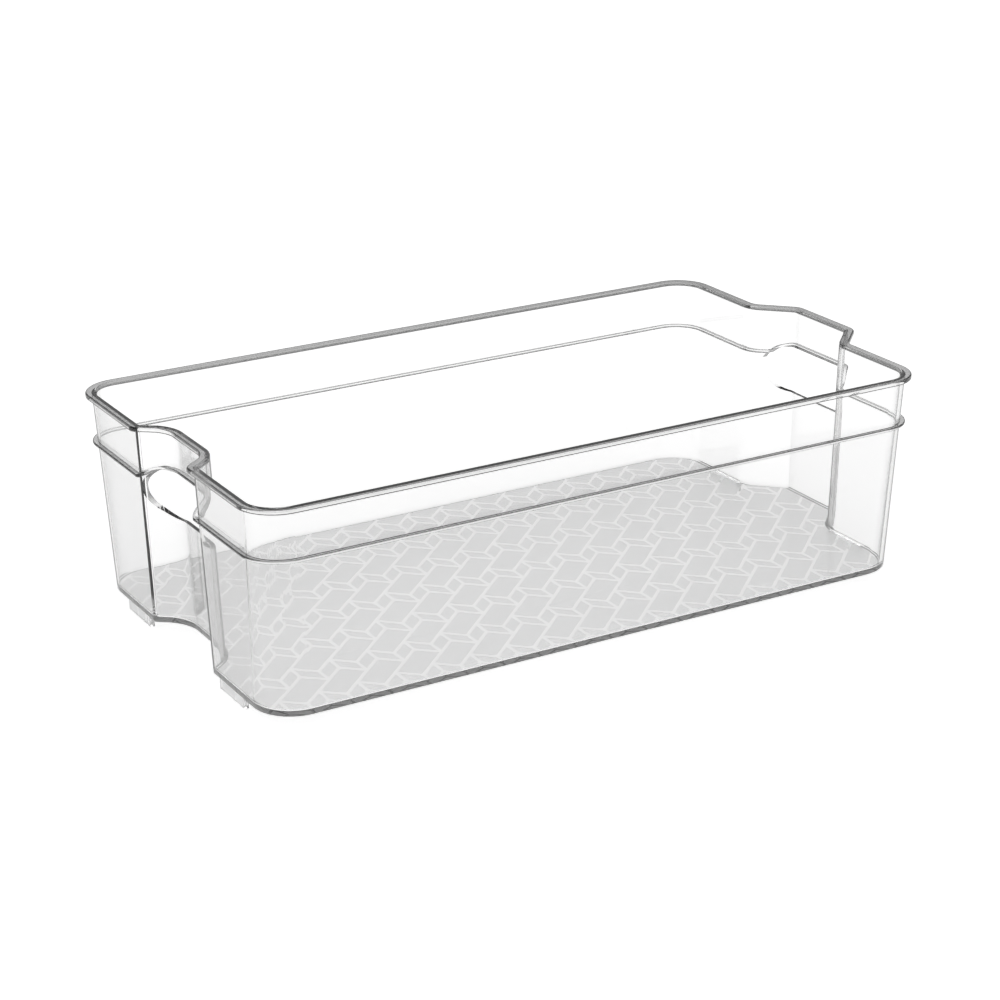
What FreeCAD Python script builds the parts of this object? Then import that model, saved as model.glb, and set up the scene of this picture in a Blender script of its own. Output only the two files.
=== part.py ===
"""Clear fridge bin: one injection moulding, drawn region by region.

Millimetres, +Z up.  The origin is the middle of the bounding box at the level the feet stand on.
+X points to the end whose middle stands out as a nose, -X to the end whose middle is a niche,
and -Y is the front.  Every region is cut from the same wall, so neighbours meet face to face.
"""
import FreeCAD, Part
import math
import os
from FreeCAD import Vector

# Driving dimensions
LENGTH = 370.0              # over the rim, nose included
WIDTH = 205.0               # over the rim
HEIGHT = 104.4              # rim to table
FOOT_HEIGHT = 5.0
FLOOR_THICKNESS = 2.2
WALL_THICKNESS = 2.0
WALL_DRAFT = math.radians(2.0)
RIM_OVERHANG = 3.0          # rim lip, out from the wall
RIM_DEPTH = 2.2
CORNER_RADIUS_RIM = 19.0    # outer edge of the rim
CORNER_RADIUS_BASE = 20.0   # outside of the wall at the floor

# Ends: a niche at -X and a nose at +X, each with slanted cheeks, measured on the rim's outer edge
NICHE_DEPTH = 13.1
NICHE_MOUTH = 61.2
NICHE_BACK = 40.4
NICHE_MOUTH_RADIUS = 5.7
NICHE_BACK_RADIUS = 13.3
NOSE_DEPTH = 16.9
NOSE_ROOT = 80.4
NOSE_TIP = 46.0
NOSE_ROOT_RADIUS = 7.0
NOSE_TIP_RADIUS = 7.6
SMALLEST_RADIUS = 2.0

# Stiffening bead round the wall
BEAD_TOP = 80.7
BEAD_DEPTH = 1.5
BEAD_OVERHANG = 2.4

# Finger hole in each end, punched along X
HOLE_BOTTOM = 59.5
HOLE_TOP = 84.0
HOLE_WIDTH = 65.0
HOLE_LOWER_RADIUS = 14.4
HOLE_UPPER_RADIUS = 10.0

# Feet: ribs under the flats of both ends
FOOT_THICKNESS = 2.5
FOOT_INSET = 0.3            # from the wall's lower edge
FOOT_INNER_Y = 40.0
FOOT_OUTER_Y = 66.0

# Derived places
NICHE_END_X = -LENGTH / 2
NOSE_END_X = LENGTH / 2 - NOSE_DEPTH
BASE_Z = FOOT_HEIGHT
FLOOR_TOP = BASE_Z + FLOOR_THICKNESS
WALL_RUN = HEIGHT - BASE_Z
WALL_TAPER = WALL_RUN * math.tan(WALL_DRAFT)
CORNER_RADIUS_WALL_TOP = CORNER_RADIUS_RIM - RIM_OVERHANG
HANDLE_HALF_WIDTH = 46.0    # the part of each end between its two flats
CORNER_REACH = RIM_OVERHANG + WALL_TAPER + CORNER_RADIUS_BASE
CORNER_CUT = WIDTH / 2 - CORNER_REACH
ABOVE = HEIGHT + 10.0
BELOW = -10.0
OUTWARD = 1                 # a bend whose radius shrinks towards the inside of the bin
INWARD = -1                 # a bend whose radius grows towards the inside of the bin


def plan_corners():
    """Sharp plan corners of the rim's outer edge with their radii, clockwise from the nose end's back."""
    half = WIDTH / 2
    nose_x = NOSE_END_X + NOSE_DEPTH
    niche_x = NICHE_END_X + NICHE_DEPTH
    return [
        (NOSE_END_X, half, OUTWARD, CORNER_RADIUS_RIM),
        (NOSE_END_X, NOSE_ROOT / 2, INWARD, NOSE_ROOT_RADIUS),
        (nose_x, NOSE_TIP / 2, OUTWARD, NOSE_TIP_RADIUS),
        (nose_x, -NOSE_TIP / 2, OUTWARD, NOSE_TIP_RADIUS),
        (NOSE_END_X, -NOSE_ROOT / 2, INWARD, NOSE_ROOT_RADIUS),
        (NOSE_END_X, -half, OUTWARD, CORNER_RADIUS_RIM),
        (NICHE_END_X, -half, OUTWARD, CORNER_RADIUS_RIM),
        (NICHE_END_X, -NICHE_MOUTH / 2, OUTWARD, NICHE_MOUTH_RADIUS),
        (niche_x, -NICHE_BACK / 2, INWARD, NICHE_BACK_RADIUS),
        (niche_x, NICHE_BACK / 2, INWARD, NICHE_BACK_RADIUS),
        (NICHE_END_X, NICHE_MOUTH / 2, OUTWARD, NICHE_MOUTH_RADIUS),
        (NICHE_END_X, half, OUTWARD, CORNER_RADIUS_RIM),
    ]


def line_crossing(point_a, direction_a, point_b, direction_b):
    cross = direction_a.x * direction_b.y - direction_a.y * direction_b.x
    gap = point_b - point_a
    along = (gap.x * direction_b.y - gap.y * direction_b.x) / cross
    return point_a + direction_a * along


def rounded_wire(points, radii, z):
    """Closed wire at height z with an arc in every corner; tangent lengths follow from the radii."""
    count = len(points)
    starts = []
    arcs = []
    ends = []
    for i in range(count):
        corner = points[i]
        to_previous = (points[i - 1] - corner).normalize()
        to_next = (points[(i + 1) % count] - corner).normalize()
        half_angle = to_previous.getAngle(to_next) / 2
        tangent = radii[i] / math.tan(half_angle)
        bisector = (to_previous + to_next).normalize()
        centre = corner + bisector * (radii[i] / math.sin(half_angle))
        start = corner + to_previous * tangent
        end = corner + to_next * tangent
        middle = centre - bisector * radii[i]
        lift = Vector(0, 0, z)
        starts.append(start + lift)
        ends.append(end + lift)
        arcs.append(Part.Arc(start + lift, middle + lift, end + lift).toShape())
    edges = []
    for i in range(count):
        edges.append(arcs[i])
        edges.append(Part.LineSegment(ends[i], starts[(i + 1) % count]).toShape())
    return Part.Wire(edges)


def plan_wire(inset, z, corner_radius):
    """The rim's outer edge moved inwards by inset, at height z, with its own outer corner radius."""
    corners = plan_corners()
    sharp = [Vector(x, y, 0) for x, y, _, _ in corners]
    count = len(sharp)
    moved = []
    radii = []
    for i in range(count):
        before = (sharp[i] - sharp[i - 1]).normalize()
        after = (sharp[(i + 1) % count] - sharp[i]).normalize()
        side_before = Vector(before.y, -before.x, 0) * inset
        side_after = Vector(after.y, -after.x, 0) * inset
        moved.append(line_crossing(sharp[i] + side_before, before, sharp[i] + side_after, after))
        turn, radius = corners[i][2:]
        if abs(sharp[i].y) == WIDTH / 2:
            radii.append(corner_radius)
        else:
            radii.append(max(radius - turn * inset, SMALLEST_RADIUS))
    return rounded_wire(moved, radii, z)


def wall_inset(z):
    """How far the wall's outer face stands inside the rim's outer edge at height z."""
    return RIM_OVERHANG + (HEIGHT - z) * math.tan(WALL_DRAFT)


def wall_corner_radius(z):
    share = (z - BASE_Z) / WALL_RUN
    return CORNER_RADIUS_BASE + share * (CORNER_RADIUS_WALL_TOP - CORNER_RADIUS_BASE)


def tapered_block(grow, z_low, z_high):
    """Solid inside the wall's outer face, grown outwards by grow (negative: shrunk to the inner face)."""
    wires = []
    for z in (z_low, z_high):
        wires.append(plan_wire(wall_inset(z) - grow, z, wall_corner_radius(z) + grow))
    return Part.makeLoft(wires, True, True)


def straight_block(wire, height):
    return Part.Face(wire).extrude(Vector(0, 0, height))


def box(x_low, x_high, y_low, y_high, z_low, z_high):
    corner = Vector(x_low, y_low, z_low)
    return Part.makeBox(x_high - x_low, y_high - y_low, z_high - z_low, corner)


def hole_prism(grow, x_low, x_high):
    """The finger hole's outline, grown by grow, as a bar along X."""
    half = HOLE_WIDTH / 2 + grow
    low = HOLE_BOTTOM - grow
    high = HOLE_TOP + grow
    points = [Vector(low, -half, 0), Vector(low, half, 0), Vector(high, half, 0), Vector(high, -half, 0)]
    radii = [
        HOLE_LOWER_RADIUS + grow,
        HOLE_LOWER_RADIUS + grow,
        HOLE_UPPER_RADIUS + grow,
        HOLE_UPPER_RADIUS + grow,
    ]
    bar = straight_block(rounded_wire(points, radii, 0), x_high - x_low)
    bar.rotate(Vector(0, 0, 0), Vector(0, 1, 0), -90)
    bar.translate(Vector(x_high, 0, 0))
    return bar


def save(name, shape):
    solids = shape.Solids
    if len(solids) != 1 or not solids[0].isValid():
        raise RuntimeError(f"{name}: {len(solids)} solids")
    solids[0].exportStep(f"parts/{name}.step")


def plan_regions():
    """Boxes that divide the ring of wall, rim and bead: two long sides, four corners, four flats."""
    far = LENGTH
    niche_cut = NICHE_END_X + CORNER_REACH
    nose_cut = NOSE_END_X - CORNER_REACH
    regions = {
        "front": (niche_cut, nose_cut, -far, -CORNER_CUT),
        "back": (niche_cut, nose_cut, CORNER_CUT, far),
    }
    for end, x_low, x_high in (("niche", -far, niche_cut), ("nose", nose_cut, far)):
        regions[f"{end}_front_corner"] = (x_low, x_high, -far, -CORNER_CUT)
        regions[f"{end}_back_corner"] = (x_low, x_high, CORNER_CUT, far)
        regions[f"{end}_front_flat"] = (x_low, x_high, -CORNER_CUT, -HANDLE_HALF_WIDTH)
        regions[f"{end}_back_flat"] = (x_low, x_high, HANDLE_HALF_WIDTH, CORNER_CUT)
    return regions


def handle_regions():
    """Each end's middle stretch: its panel and the slanted cheek on either side of it."""
    far = LENGTH
    regions = {}
    for end, x_low, x_high, panel in (
        ("niche", -far, 0.0, NICHE_BACK / 2),
        ("nose", 0.0, far, NOSE_TIP / 2),
    ):
        regions[f"{end}_panel"] = (x_low, x_high, -panel, panel)
        regions[f"{end}_front_cheek"] = (x_low, x_high, -HANDLE_HALF_WIDTH, -panel)
        regions[f"{end}_back_cheek"] = (x_low, x_high, panel, HANDLE_HALF_WIDTH)
    return regions


def build_floor(outer):
    slab = outer.common(box(-LENGTH, LENGTH, -WIDTH, WIDTH, BELOW, FLOOR_TOP))
    save("floor_panel", slab)


def build_walls(wall, holes):
    """Wall above the floor; at the handles the hole divides it into a brow above and an apron below."""
    for name, (x_low, x_high, y_low, y_high) in plan_regions().items():
        save(f"{name}_wall", wall.common(box(x_low, x_high, y_low, y_high, BELOW, ABOVE)))
    split = (HOLE_BOTTOM + HOLE_TOP) / 2
    for name, (x_low, x_high, y_low, y_high) in handle_regions().items():
        pierced = wall.common(box(x_low, x_high, y_low, y_high, BELOW, ABOVE)).cut(holes)
        save(f"{name}_apron", pierced.common(box(x_low, x_high, y_low, y_high, BELOW, split)))
        save(f"{name}_brow", pierced.common(box(x_low, x_high, y_low, y_high, split, ABOVE)))


def build_rim(outer):
    """Flat lip that stands out all round the wall's top edge."""
    edge = plan_wire(0.0, HEIGHT - RIM_DEPTH, CORNER_RADIUS_RIM)
    lip = straight_block(edge, RIM_DEPTH).cut(outer)
    for name, bounds in {**plan_regions(), **handle_regions()}.items():
        save(f"{name}_rim", lip.common(box(*bounds, BELOW, ABOVE)))


def build_bead(outer, holes):
    """Bead round the wall, which climbs over each finger hole and thickens the hole's upper edge."""
    collar = tapered_block(BEAD_OVERHANG, BASE_Z, HEIGHT).cut(outer)
    bead_low = BEAD_TOP - BEAD_DEPTH
    ring = collar.common(box(-LENGTH, LENGTH, -WIDTH, WIDTH, bead_low, BEAD_TOP))
    for name, bounds in plan_regions().items():
        save(f"{name}_bead", ring.common(box(*bounds, BELOW, ABOVE)))
    thick_holes = hole_prism(BEAD_DEPTH, -LENGTH, LENGTH)
    half = HANDLE_HALF_WIDTH
    arch = thick_holes.common(box(-LENGTH, LENGTH, -half, half, bead_low, ABOVE))
    level = box(-LENGTH, LENGTH, -half, half, bead_low, BEAD_TOP)
    band = collar.common(arch.fuse(level)).cut(holes)
    for end, x_low, x_high in (("niche", -LENGTH, 0.0), ("nose", 0.0, LENGTH)):
        save(f"{end}_arch_bead", band.common(box(x_low, x_high, -half, half, BELOW, ABOVE)))


def build_feet():
    """Four straight ribs, one under each flat."""
    niche_base = NICHE_END_X + RIM_OVERHANG + WALL_TAPER
    nose_base = NOSE_END_X - RIM_OVERHANG - WALL_TAPER
    niche_x = niche_base + FOOT_INSET
    nose_x = nose_base - FOOT_INSET - FOOT_THICKNESS
    for end, x in (("niche", niche_x), ("nose", nose_x)):
        for side, sign in (("front", -1), ("back", 1)):
            y_low = min(sign * FOOT_INNER_Y, sign * FOOT_OUTER_Y)
            y_high = max(sign * FOOT_INNER_Y, sign * FOOT_OUTER_Y)
            save(f"{end}_{side}_foot", box(x, x + FOOT_THICKNESS, y_low, y_high, 0.0, BASE_Z))


os.makedirs("parts", exist_ok=True)
outer_block = tapered_block(0.0, BASE_Z, HEIGHT)
inner_block = tapered_block(-WALL_THICKNESS, FLOOR_TOP, HEIGHT)
wall_ring = outer_block.common(box(-LENGTH, LENGTH, -WIDTH, WIDTH, FLOOR_TOP, ABOVE)).cut(inner_block)
finger_holes = hole_prism(0.0, -LENGTH, LENGTH)
build_floor(outer_block)
build_walls(wall_ring, finger_holes)
build_rim(outer_block)
build_bead(outer_block, finger_holes)
build_feet()
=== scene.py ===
import math
import bmesh
import bpy
from mathutils import Matrix


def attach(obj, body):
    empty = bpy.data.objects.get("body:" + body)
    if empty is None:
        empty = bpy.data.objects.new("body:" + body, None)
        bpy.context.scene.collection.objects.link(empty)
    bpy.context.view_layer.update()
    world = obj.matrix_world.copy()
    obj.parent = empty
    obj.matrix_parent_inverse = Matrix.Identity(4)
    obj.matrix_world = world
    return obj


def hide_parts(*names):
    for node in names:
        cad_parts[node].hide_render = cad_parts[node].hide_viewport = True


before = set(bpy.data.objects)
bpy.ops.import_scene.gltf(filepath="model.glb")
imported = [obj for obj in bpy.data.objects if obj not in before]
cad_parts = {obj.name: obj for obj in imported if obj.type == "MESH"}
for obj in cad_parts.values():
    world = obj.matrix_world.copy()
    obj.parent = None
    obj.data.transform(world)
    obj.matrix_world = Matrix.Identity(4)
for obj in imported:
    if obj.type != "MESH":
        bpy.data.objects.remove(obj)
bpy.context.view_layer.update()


# ---------------------------------------------------------------------------------------------
# The tub: walls, floor and lipped rim. One shot of clear styrene in a polished steel tool, the
# walls 2 mm thick with two degrees of draft so that it drops off the core. One end has a niche
# in its middle and the other a nose, both with slanted cheeks.

MM = 0.001
LENGTH, WIDTH, HEIGHT = 370.0, 205.0, 104.4
BASE, FLOOR_TOP = 5.0, 7.2          # the feet lift the floor's underside off the shelf
DRAFT = math.tan(math.radians(2.0))
WALL = 2.0
LIP_OUT, LIP_DEEP = 3.0, 2.2
NICHE_DEPTH, NICHE_MOUTH, NICHE_BACK = 13.1, 61.2, 40.4
NICHE_MOUTH_RADIUS, NICHE_BACK_RADIUS = 5.7, 13.3
NOSE_DEPTH, NOSE_ROOT, NOSE_TIP = 16.9, 80.4, 46.0
NOSE_ROOT_RADIUS, NOSE_TIP_RADIUS = 7.0, 7.6
SMALLEST_RADIUS = 2.0
NICHE_END, NOSE_END = -LENGTH / 2, LENGTH / 2 - NOSE_DEPTH
ENDS_FROM, CORNERS_FROM = 150.0, 86.0       # an end lies beyond this X, its two corners beyond this Y
SHORT = 4.0                         # edges no longer than this belong to a rounded corner
APART = 0.2                         # metres between neighbouring loops while they are joined


def wall_inset(z):
    """How far the wall's outer face stands inside the lip's outer edge, in mm."""
    return LIP_OUT + (HEIGHT - z) * DRAFT


def corner_radius(inset, z):
    """Radius of the tub's four big corners: 16 mm at the top of the wall and 20 mm at the floor."""
    on_wall = 16.0 + 4.0 * (HEIGHT - z) / (HEIGHT - BASE)
    return on_wall + wall_inset(z) - inset


def plan_loop(bm, inset, z, end_cuts=0):
    """The tub's outline seen from above, moved in by inset, as one closed loop of edges at height z.
    A corner is its x, its y, the angle the outline turns there, and its radius. The straight
    stretches of both ends get end_cuts points each, for what has to bend there."""
    niche_turn = math.atan2(NICHE_DEPTH, (NICHE_MOUTH - NICHE_BACK) / 2)
    nose_turn = math.atan2(NOSE_DEPTH, (NOSE_ROOT - NOSE_TIP) / 2)
    niche_shift = inset * math.tan(niche_turn / 2)
    nose_shift = -inset * math.tan(nose_turn / 2)
    big = corner_radius(inset, z)
    mouth_radius = max(NICHE_MOUTH_RADIUS - inset, SMALLEST_RADIUS)
    tip_radius = max(NOSE_TIP_RADIUS - inset, SMALLEST_RADIUS)
    niche_back = NICHE_END + NICHE_DEPTH + inset
    back = [
        (NOSE_END + NOSE_DEPTH - inset, NOSE_TIP / 2 + nose_shift, nose_turn, tip_radius),
        (NOSE_END - inset, NOSE_ROOT / 2 + nose_shift, nose_turn, NOSE_ROOT_RADIUS + inset),
        (NOSE_END - inset, WIDTH / 2 - inset, math.pi / 2, big),
        (NICHE_END + inset, WIDTH / 2 - inset, math.pi / 2, big),
        (NICHE_END + inset, NICHE_MOUTH / 2 + niche_shift, niche_turn, mouth_radius),
        (niche_back, NICHE_BACK / 2 + niche_shift, niche_turn, NICHE_BACK_RADIUS + inset),
    ]
    front = [(x, -y, turn, radius) for x, y, turn, radius in reversed(back)]
    corners = back + front
    others = set(bm.edges)
    verts = [bm.verts.new((x * MM, y * MM, z * MM)) for x, y, _, _ in corners]
    for start, end in zip(verts, verts[1:] + verts[:1]):
        bm.edges.new((start, end))
    for vert, (_, _, turn, radius) in zip(verts, corners):
        bmesh.ops.bevel(bm, geom=[vert], offset=radius * math.tan(turn / 2) * MM, offset_type="ABSOLUTE",
                        segments=28 if turn > 1.5 else 12, profile=0.5, affect="VERTICES", material=-1)
    straight = [e for e in bm.edges if e not in others and e.calc_length() > SHORT * MM]
    long_at_ends = [e for e in straight if all(
        abs(v.co.x) > ENDS_FROM * MM and abs(v.co.y) < CORNERS_FROM * MM for v in e.verts)]
    bmesh.ops.subdivide_edges(bm, edges=long_at_ends, cuts=end_cuts)
    return [e for e in bm.edges if e not in others]


def quarter(inset, z, radius, start, end, steps=5):
    """Points of a rounded edge in the wall's cross-section, from one angle to another in degrees."""
    angles = [math.radians(start + (end - start) * i / steps) for i in range(steps + 1)]
    return [(inset + radius * math.cos(a), z + radius * math.sin(a)) for a in angles]


def loft(levels, closed_ends, end_cuts=0):
    """A skin through the outline at each (inset, z) level: a closed block, or a ring without ends.
    The loops are held apart while they are joined, so that near ones don't join crosswise."""
    bm = bmesh.new()
    loops = []
    for step, (inset, z) in enumerate(levels):
        loops.append(plan_loop(bm, inset, z, end_cuts))
        loop_verts = list({v for e in loops[-1] for v in e.verts})
        bmesh.ops.translate(bm, vec=(0, 0, APART * step), verts=loop_verts)
    pairs = list(zip(loops, loops[1:]))
    if not closed_ends:
        pairs.append((loops[-1], loops[0]))
    for below, above in pairs:
        bmesh.ops.bridge_loops(bm, edges=below + above)
    if closed_ends:
        bmesh.ops.contextual_create(bm, geom=loops[0])
        bmesh.ops.contextual_create(bm, geom=loops[-1])
    bmesh.ops.recalc_face_normals(bm, faces=bm.faces)
    for vert in bm.verts:
        vert.co.z -= APART * math.floor(vert.co.z / APART)
    return bm


def as_object(name, bm):
    """Puts a finished bmesh into the scene as an object of its own."""
    mesh = bpy.data.meshes.new(name)
    bm.to_mesh(mesh)
    bm.free()
    obj = bpy.data.objects.new(name, mesh)
    bpy.context.scene.collection.objects.link(obj)
    return obj


def combine(obj, tool, operation):
    """Joins the tool to obj, or cuts it away, and leaves the result in obj's own mesh."""
    step = obj.modifiers.new(operation.lower(), "BOOLEAN")
    step.operation = operation
    step.solver = "MANIFOLD"
    step.object = tool
    bpy.context.view_layer.update()
    result = bpy.data.meshes.new_from_object(obj.evaluated_get(bpy.context.evaluated_depsgraph_get()))
    obj.modifiers.clear()
    obj.data = result
    bpy.data.objects.remove(tool)


under_lip = HEIGHT - LIP_DEEP - 0.3
tub_levels = (
    quarter(wall_inset(BASE) + 0.9, BASE + 0.9, 0.9, 270, 180)                      # base edge
    + quarter(wall_inset(under_lip) - 0.3, under_lip, 0.3, 0, 90, steps=3)          # under the lip
    + quarter(0.3, HEIGHT - LIP_DEEP + 0.3, 0.3, 270, 180, steps=3)                 # lip's lower edge
    + quarter(0.9, HEIGHT - 0.9, 0.9, 180, 90)                                      # lip's top edge
    + quarter(LIP_OUT + WALL - 1.1, HEIGHT - 1.1, 1.1, 90, 0)                       # inner edge
    + quarter(wall_inset(FLOOR_TOP) + WALL + 1.6, FLOOR_TOP + 1.6, 1.6, 180, 270)   # round the floor
)
tub = as_object("clear_tub", loft(tub_levels, closed_ends=True))


# ---------------------------------------------------------------------------------------------
# The bead: a rounded rib that stiffens the outside of the wall all the way round. It runs level
# along the sides and climbs over each finger hole, where it becomes the hole's thick upper edge.

BEAD_TOP, BEAD_DEEP, BEAD_OUT = 80.7, 1.5, 2.4
HOLE_LOW, HOLE_HIGH, HOLE_WIDE = 59.5, 84.0, 65.0
HOLE_LOW_RADIUS, HOLE_HIGH_RADIUS = 14.4, 10.0
ARCH_HALF_WIDTH = 45.0              # the bead runs level outside this
SUNK = 0.8                          # how far the bead's root reaches into the wall


def bead_edge(y, level, grow):
    """Height of the bead's edge at y: level, or the hole's own outline where that is higher."""
    past_flat = max(abs(y) - (HOLE_WIDE / 2 - HOLE_HIGH_RADIUS), 0.0)
    radius = HOLE_HIGH_RADIUS + grow
    arch = HOLE_HIGH - HOLE_HIGH_RADIUS + math.sqrt(max(radius ** 2 - past_flat ** 2, 0.0))
    soften = 0.8
    return (level + arch + math.sqrt((level - arch) ** 2 + soften ** 2)) / 2


bead_section = (
    [(SUNK, 0.1 - BEAD_DEEP)] + quarter(-BEAD_OUT + 0.7, -BEAD_DEEP + 0.7, 0.7, 270, 180)
    + quarter(-BEAD_OUT + 0.7, -0.7, 0.7, 180, 90) + [(SUNK, -0.1)]
)
bead_levels = [(wall_inset(BEAD_TOP + z) + out, BEAD_TOP + z) for out, z in bead_section]
bead = loft(bead_levels, closed_ends=False, end_cuts=24)
for vert in bead.verts:
    x, y, z = vert.co / MM
    if abs(y) < ARCH_HALF_WIDTH and abs(x) > ENDS_FROM:
        share = (BEAD_TOP - z) / BEAD_DEEP
        low_rise = bead_edge(y, BEAD_TOP - BEAD_DEEP, 0.0) - bead_edge(WIDTH, BEAD_TOP - BEAD_DEEP, 0.0)
        high_rise = bead_edge(y, BEAD_TOP, BEAD_DEEP) - bead_edge(WIDTH, BEAD_TOP, BEAD_DEEP)
        rise = share * low_rise + (1 - share) * high_rise
        vert.co.z += rise * MM
        vert.co.x += math.copysign(rise * DRAFT * MM, x)
combine(tub, as_object("bead", bead), "UNION")


# ---------------------------------------------------------------------------------------------
# The feet: four straight ribs under the flats of the two ends, part of the same shot. They keep
# the patterned floor 5 mm off the shelf.

FOOT_THICK, FOOT_LONG, FOOT_Y = 2.5, 26.0, 53.0
FOOT_TALL = BASE + 1.0              # its top millimetre is sunk in the floor
FOOT_IN = wall_inset(BASE) + 0.3 + FOOT_THICK / 2

for x in (NICHE_END + FOOT_IN, NOSE_END - FOOT_IN):
    for y in (-FOOT_Y, FOOT_Y):
        foot = bmesh.new()
        bmesh.ops.create_cube(foot, size=1.0)
        bmesh.ops.scale(foot, vec=(FOOT_THICK * MM, FOOT_LONG * MM, FOOT_TALL * MM), verts=foot.verts)
        bmesh.ops.translate(foot, vec=(x * MM, y * MM, FOOT_TALL / 2 * MM), verts=foot.verts)
        bmesh.ops.bevel(foot, geom=foot.edges, offset=0.5 * MM, segments=3, profile=0.5,
                        affect="EDGES", material=-1)
        combine(tub, as_object("foot", foot), "UNION")


# ---------------------------------------------------------------------------------------------
# The finger holes: one in each end, punched along the tub's length by a slide in the tool, so
# they wrap round onto the slanted cheeks beside the niche and the nose.

PUNCH = 56.0                        # the slide's travel along X, through wall and cheeks
half = HOLE_WIDE / 2

for x in (NICHE_END, LENGTH / 2):
    hole = bmesh.new()
    corners = [(-half, HOLE_LOW, HOLE_LOW_RADIUS), (half, HOLE_LOW, HOLE_LOW_RADIUS),
               (half, HOLE_HIGH, HOLE_HIGH_RADIUS), (-half, HOLE_HIGH, HOLE_HIGH_RADIUS)]
    verts = [hole.verts.new(((x - PUNCH / 2) * MM, y * MM, z * MM)) for y, z, _ in corners]
    hole.faces.new(verts)
    for vert, (_, _, radius) in zip(verts, corners):
        bmesh.ops.bevel(hole, geom=[vert], offset=radius * MM, offset_type="ABSOLUTE", segments=14,
                        profile=0.5, affect="VERTICES", material=-1)
    bar = bmesh.ops.extrude_face_region(hole, geom=list(hole.faces), use_keep_orig=True)
    far_verts = [g for g in bar["geom"] if isinstance(g, bmesh.types.BMVert)]
    bmesh.ops.translate(hole, vec=(PUNCH * MM, 0, 0), verts=far_verts)
    bmesh.ops.recalc_face_normals(hole, faces=hole.faces)
    combine(tub, as_object("hole", hole), "DIFFERENCE")


# ---------------------------------------------------------------------------------------------
# Its plastic: general-purpose polystyrene, clear as glass with a faint grey, from a polished
# tool. The floor's underside is spark-eroded in panels, and the ribs between them stay polished.

def linear(hex_colour):
    """An sRGB hex colour as the linear RGBA that a shader takes."""
    parts = [int(hex_colour[i:i + 2], 16) / 255 for i in (1, 3, 5)]
    return [p / 12.92 if p <= 0.04045 else ((p + 0.055) / 1.055) ** 2.4 for p in parts] + [1.0]


def add(tree, kind, settings=None, **inputs):
    """Adds a node, sets its own settings, and fills or links its inputs by name or number."""
    node = tree.nodes.new(kind)
    for key, value in (settings or {}).items():
        setattr(node, key, value)
    for key, value in inputs.items():
        numbered = key[0] == "i" and key[1:].isdigit()
        socket = node.inputs[int(key[1:]) if numbered else key.replace("_", " ")]
        if isinstance(value, bpy.types.NodeSocket):
            tree.links.new(value, socket)
        else:
            socket.default_value = value
    return node


def new_material(name):
    """An empty material, and its node tree."""
    material = bpy.data.materials.new(name)
    material.use_nodes = True
    material.node_tree.nodes.clear()
    return material, material.node_tree


plastic, tree = new_material("clear_polystyrene")
PITCH_X, PITCH_Y = 19.1, 28.0       # one repeat of the pattern
DROP, RISER = 8.9, 10.2             # a slanted side falls this much, an upright side is this long
START_X, START_Y = -14.0, 6.3       # a corner of the pattern
LINE, LINE_SOFT = 1.3, 0.2          # width of the polished lines between the satin panels, and their blur
FAR = 50.0                          # takes a line out of the comparison where the pattern has none
HAIR = 0.05                         # so that a level takes in the faces that lie exactly on it
POLISHED, SATIN = 0.02, 0.35        # roughness of the two finishes
place = add(tree, "ShaderNodeTexCoord")
axes = add(tree, "ShaderNodeSeparateXYZ", Vector=place.outputs["Object"])


def calc(operation, a, b=0.0, c=0.0):
    """One step of arithmetic on the plastic's own node tree."""
    return add(plastic.node_tree, "ShaderNodeMath", {"operation": operation}, i0=a, i1=b, i2=c).outputs[0]


# distance to the nearest line: the slanted sides, the steep ones between them, and the risers
x_mm = calc("MULTIPLY_ADD", axes.outputs["X"], 1000.0, -START_X)
y_mm = calc("MULTIPLY_ADD", axes.outputs["Y"], 1000.0, -START_Y)
across = calc("FLOORED_MODULO", x_mm, PITCH_X)
zigzag = calc("PINGPONG", x_mm, PITCH_X / 2)
upright = calc("MULTIPLY_ADD", zigzag, DROP / (PITCH_X / 2), y_mm)
row = calc("FLOORED_MODULO", upright, PITCH_Y)
slant = math.cos(math.atan2(DROP, PITCH_X / 2))
to_upper = calc("PINGPONG", row, PITCH_Y / 2)
to_lower = calc("ABSOLUTE", calc("SUBTRACT", row, PITCH_Y - RISER))
steep = calc("ABSOLUTE", calc("MULTIPLY_ADD", across, -2 * DROP / (PITCH_X / 2), row))
in_left_half = calc("LESS_THAN", across, PITCH_X / 2)
to_steep = calc("ADD", steep, calc("MULTIPLY", calc("SUBTRACT", 1.0, in_left_half), FAR))
slanted = calc("MULTIPLY", calc("MINIMUM", calc("MINIMUM", to_upper, to_lower), to_steep), slant)
riser_outside = calc("MULTIPLY", calc("LESS_THAN", row, PITCH_Y - RISER), FAR)
nearest = calc("MINIMUM", slanted, calc("ADD", calc("PINGPONG", x_mm, PITCH_X / 4), riser_outside))
panel = add(tree, "ShaderNodeMapRange", {"interpolation_type": "SMOOTHSTEP"}, Value=nearest,
            From_Min=LINE / 2 - LINE_SOFT, From_Max=LINE / 2 + LINE_SOFT).outputs[0]
z_mm = calc("MULTIPLY", axes.outputs["Z"], 1000.0)
underneath = calc("LESS_THAN", z_mm, BASE + HAIR)
rough = calc("MULTIPLY_ADD", calc("MULTIPLY", panel, underneath), SATIN - POLISHED, POLISHED)

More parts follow.
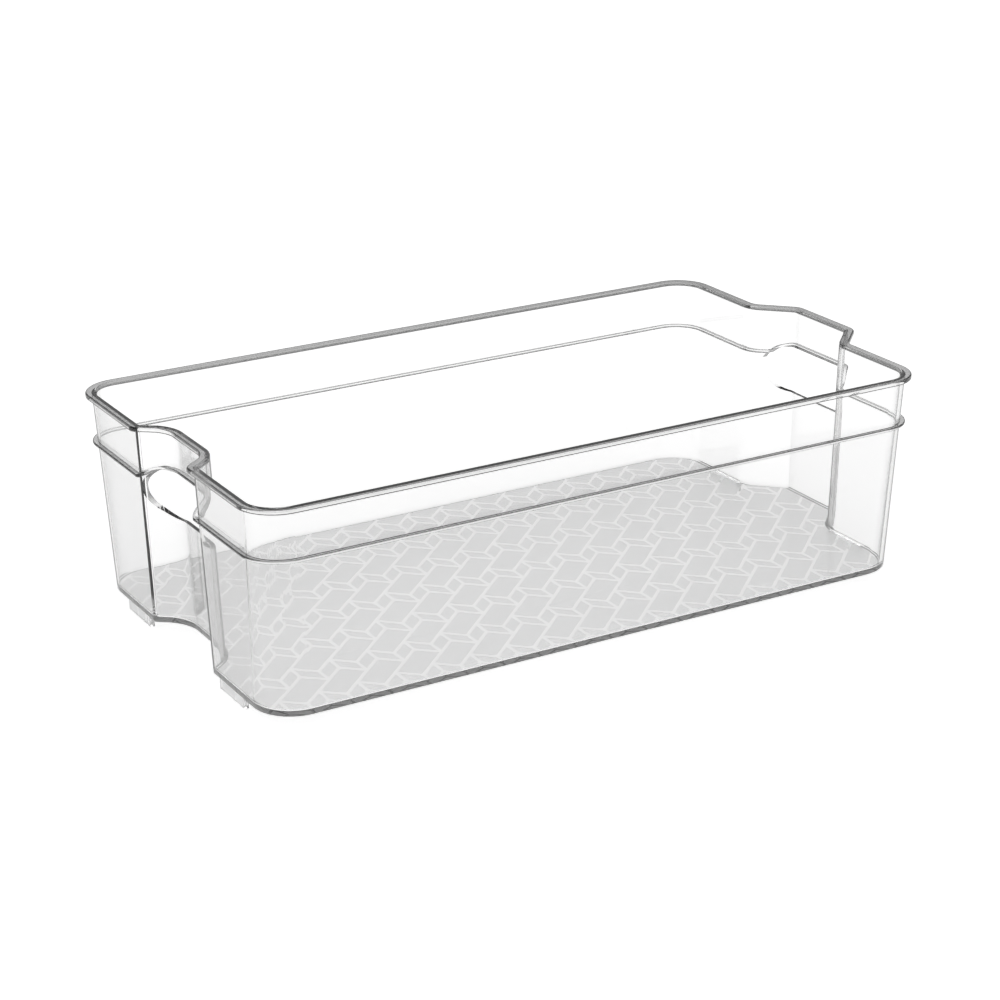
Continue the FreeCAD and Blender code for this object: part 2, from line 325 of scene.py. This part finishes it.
# painted shade: the plastic's colour darkens where it is seen at a slant, twice as much on the lip, bead
# and hole edge, and a painted dark edge line, less clear, where it turns out of sight; the flat floor
# stays clear
in_floor = calc("COMPARE", z_mm, (BASE + FLOOR_TOP) / 2, (FLOOR_TOP - BASE) / 2 + HAIR)
off_floor = calc("SUBTRACT", 1.0, in_floor)
ARCH_MIDDLE, ARCH_HALF = HOLE_HIGH - 1.4, 3.2       # from the bead's lower edge to the arch's top
from_middle = calc("ABSOLUTE", calc("MULTIPLY", axes.outputs["Y"], 1000.0))
near_hole = calc("LESS_THAN", from_middle, HOLE_WIDE / 2)
in_lip = calc("GREATER_THAN", z_mm, HEIGHT - LIP_DEEP)
in_bead = calc("COMPARE", z_mm, BEAD_TOP - BEAD_DEEP / 2, BEAD_DEEP / 2)
in_arch = calc("MULTIPLY", calc("COMPARE", z_mm, ARCH_MIDDLE, ARCH_HALF), near_hole)
# painted shade is doubled on the lip, bead and hole edge
painted_shade_gain = calc("ADD", calc("MAXIMUM", calc("MAXIMUM", in_lip, in_bead), in_arch), 1.0)
skim = add(tree, "ShaderNodeLayerWeight", Blend=0.5)
slanted_view = add(tree, "ShaderNodeMapRange", Value=skim.outputs["Facing"], From_Min=0.25, From_Max=1.0)
# painted shade where the plastic is seen at a slant
painted_slant_shade = calc("MULTIPLY", calc("POWER", slanted_view.outputs[0], 1.6), painted_shade_gain)
# painted dark edge line where the surface turns out of sight
painted_edge_line = add(tree, "ShaderNodeMapRange", Value=skim.outputs["Facing"], From_Min=0.7, From_Max=0.8,
             To_Max=0.9)
# all the painted shade, kept off the floor, mixes the colour towards grey #5C5C5C
painted_edge_shade = calc("MULTIPLY", calc("MAXIMUM", painted_slant_shade, painted_edge_line.outputs[0]), off_floor)
colour = add(tree, "ShaderNodeMix", {"data_type": "RGBA"}, Factor=painted_edge_shade)
colour.inputs[6].default_value = linear("#FFFFFF")
colour.inputs[7].default_value = linear("#5C5C5C")
# the painted dark edge line also takes away clearness and gloss there
see_through = calc("SUBTRACT", 1.0, calc("MULTIPLY", painted_edge_line.outputs[0], off_floor))
gloss = calc("MULTIPLY", see_through, 0.5)
shader = add(tree, "ShaderNodeBsdfPrincipled", Base_Color=colour.outputs[2], Roughness=rough, IOR=1.59,
             Transmission_Weight=see_through, Specular_IOR_Level=gloss)
grey = add(tree, "ShaderNodeVolumeAbsorption", Color=linear("#DADADA"), Density=60.0)
add(tree, "ShaderNodeOutputMaterial", Surface=shader.outputs[0], Volume=grey.outputs[0])

tub.data.materials.clear()
tub.data.materials.append(plastic)
for face in tub.data.polygons:
    face.material_index = 0
    face.use_smooth = True
tub.data.set_sharp_from_angle(angle=math.radians(35))
even = tub.modifiers.new("even_shading", "WEIGHTED_NORMAL")
even.keep_sharp = True
even.weight = 100
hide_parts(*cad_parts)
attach(tub, "root")


# ---------------------------------------------------------------------------------------------
# The studio: a light table, whose white top glows under and all round the tub, and a weak soft
# light from above, so that the clear walls show by their darker edges, deepened by painted shade in the
# plastic.

sweep = bmesh.new()
bmesh.ops.create_grid(sweep, x_segments=1, y_segments=1, size=5.0)
sweep = as_object("white_sweep", sweep)
paper, tree = new_material("matt_white_paper")
shader = add(tree, "ShaderNodeBsdfPrincipled", Base_Color=linear("#F4F4F4"), Roughness=0.9,
             Specular_IOR_Level=0.0, Emission_Color=linear("#FFFFFF"), Emission_Strength=0.74)
add(tree, "ShaderNodeOutputMaterial", Surface=shader.outputs[0])
sweep.data.materials.append(paper)

world = bpy.data.worlds.new("light_tent")
world.use_nodes = True
tree = world.node_tree
tree.nodes.clear()
place = add(tree, "ShaderNodeTexCoord")
axes = add(tree, "ShaderNodeSeparateXYZ", Vector=place.outputs["Generated"])
overhead = add(tree, "ShaderNodeMapRange", {"interpolation_type": "SMOOTHSTEP"}, Value=axes.outputs["Z"],
               From_Min=0.45, From_Max=0.85, To_Min=0.8, To_Max=1.0).outputs[0]
strength = add(tree, "ShaderNodeMath", {"operation": "MULTIPLY"}, i0=overhead, i1=0.5).outputs[0]
glow = add(tree, "ShaderNodeBackground", Color=linear("#FFFFFF"), Strength=strength)
add(tree, "ShaderNodeOutputWorld", Surface=glow.outputs[0])
bpy.context.scene.world = world

camera = bpy.data.objects.new("camera", bpy.data.cameras.new("camera"))
camera.data.lens = 93.137
camera.data.sensor_width = 36.0
camera.data.clip_start = 0.05
turn, rise, roll = math.radians(-29.712), math.radians(20.839), math.radians(-0.791)
stand = Matrix.Translation((-0.591322, -1.019693, 0.490454)) @ Matrix.Rotation(turn, 4, "Z")
camera.matrix_world = stand @ Matrix.Rotation(math.pi / 2 - rise, 4, "X") @ Matrix.Rotation(roll, 4, "Z")
bpy.context.scene.collection.objects.link(camera)
bpy.context.scene.camera = camera
bpy.context.scene.view_settings.view_transform = "Standard"
bpy.context.scene.cycles.max_bounces = 32
bpy.context.scene.cycles.transmission_bounces = 32
bpy.context.scene.cycles.glossy_bounces = 16
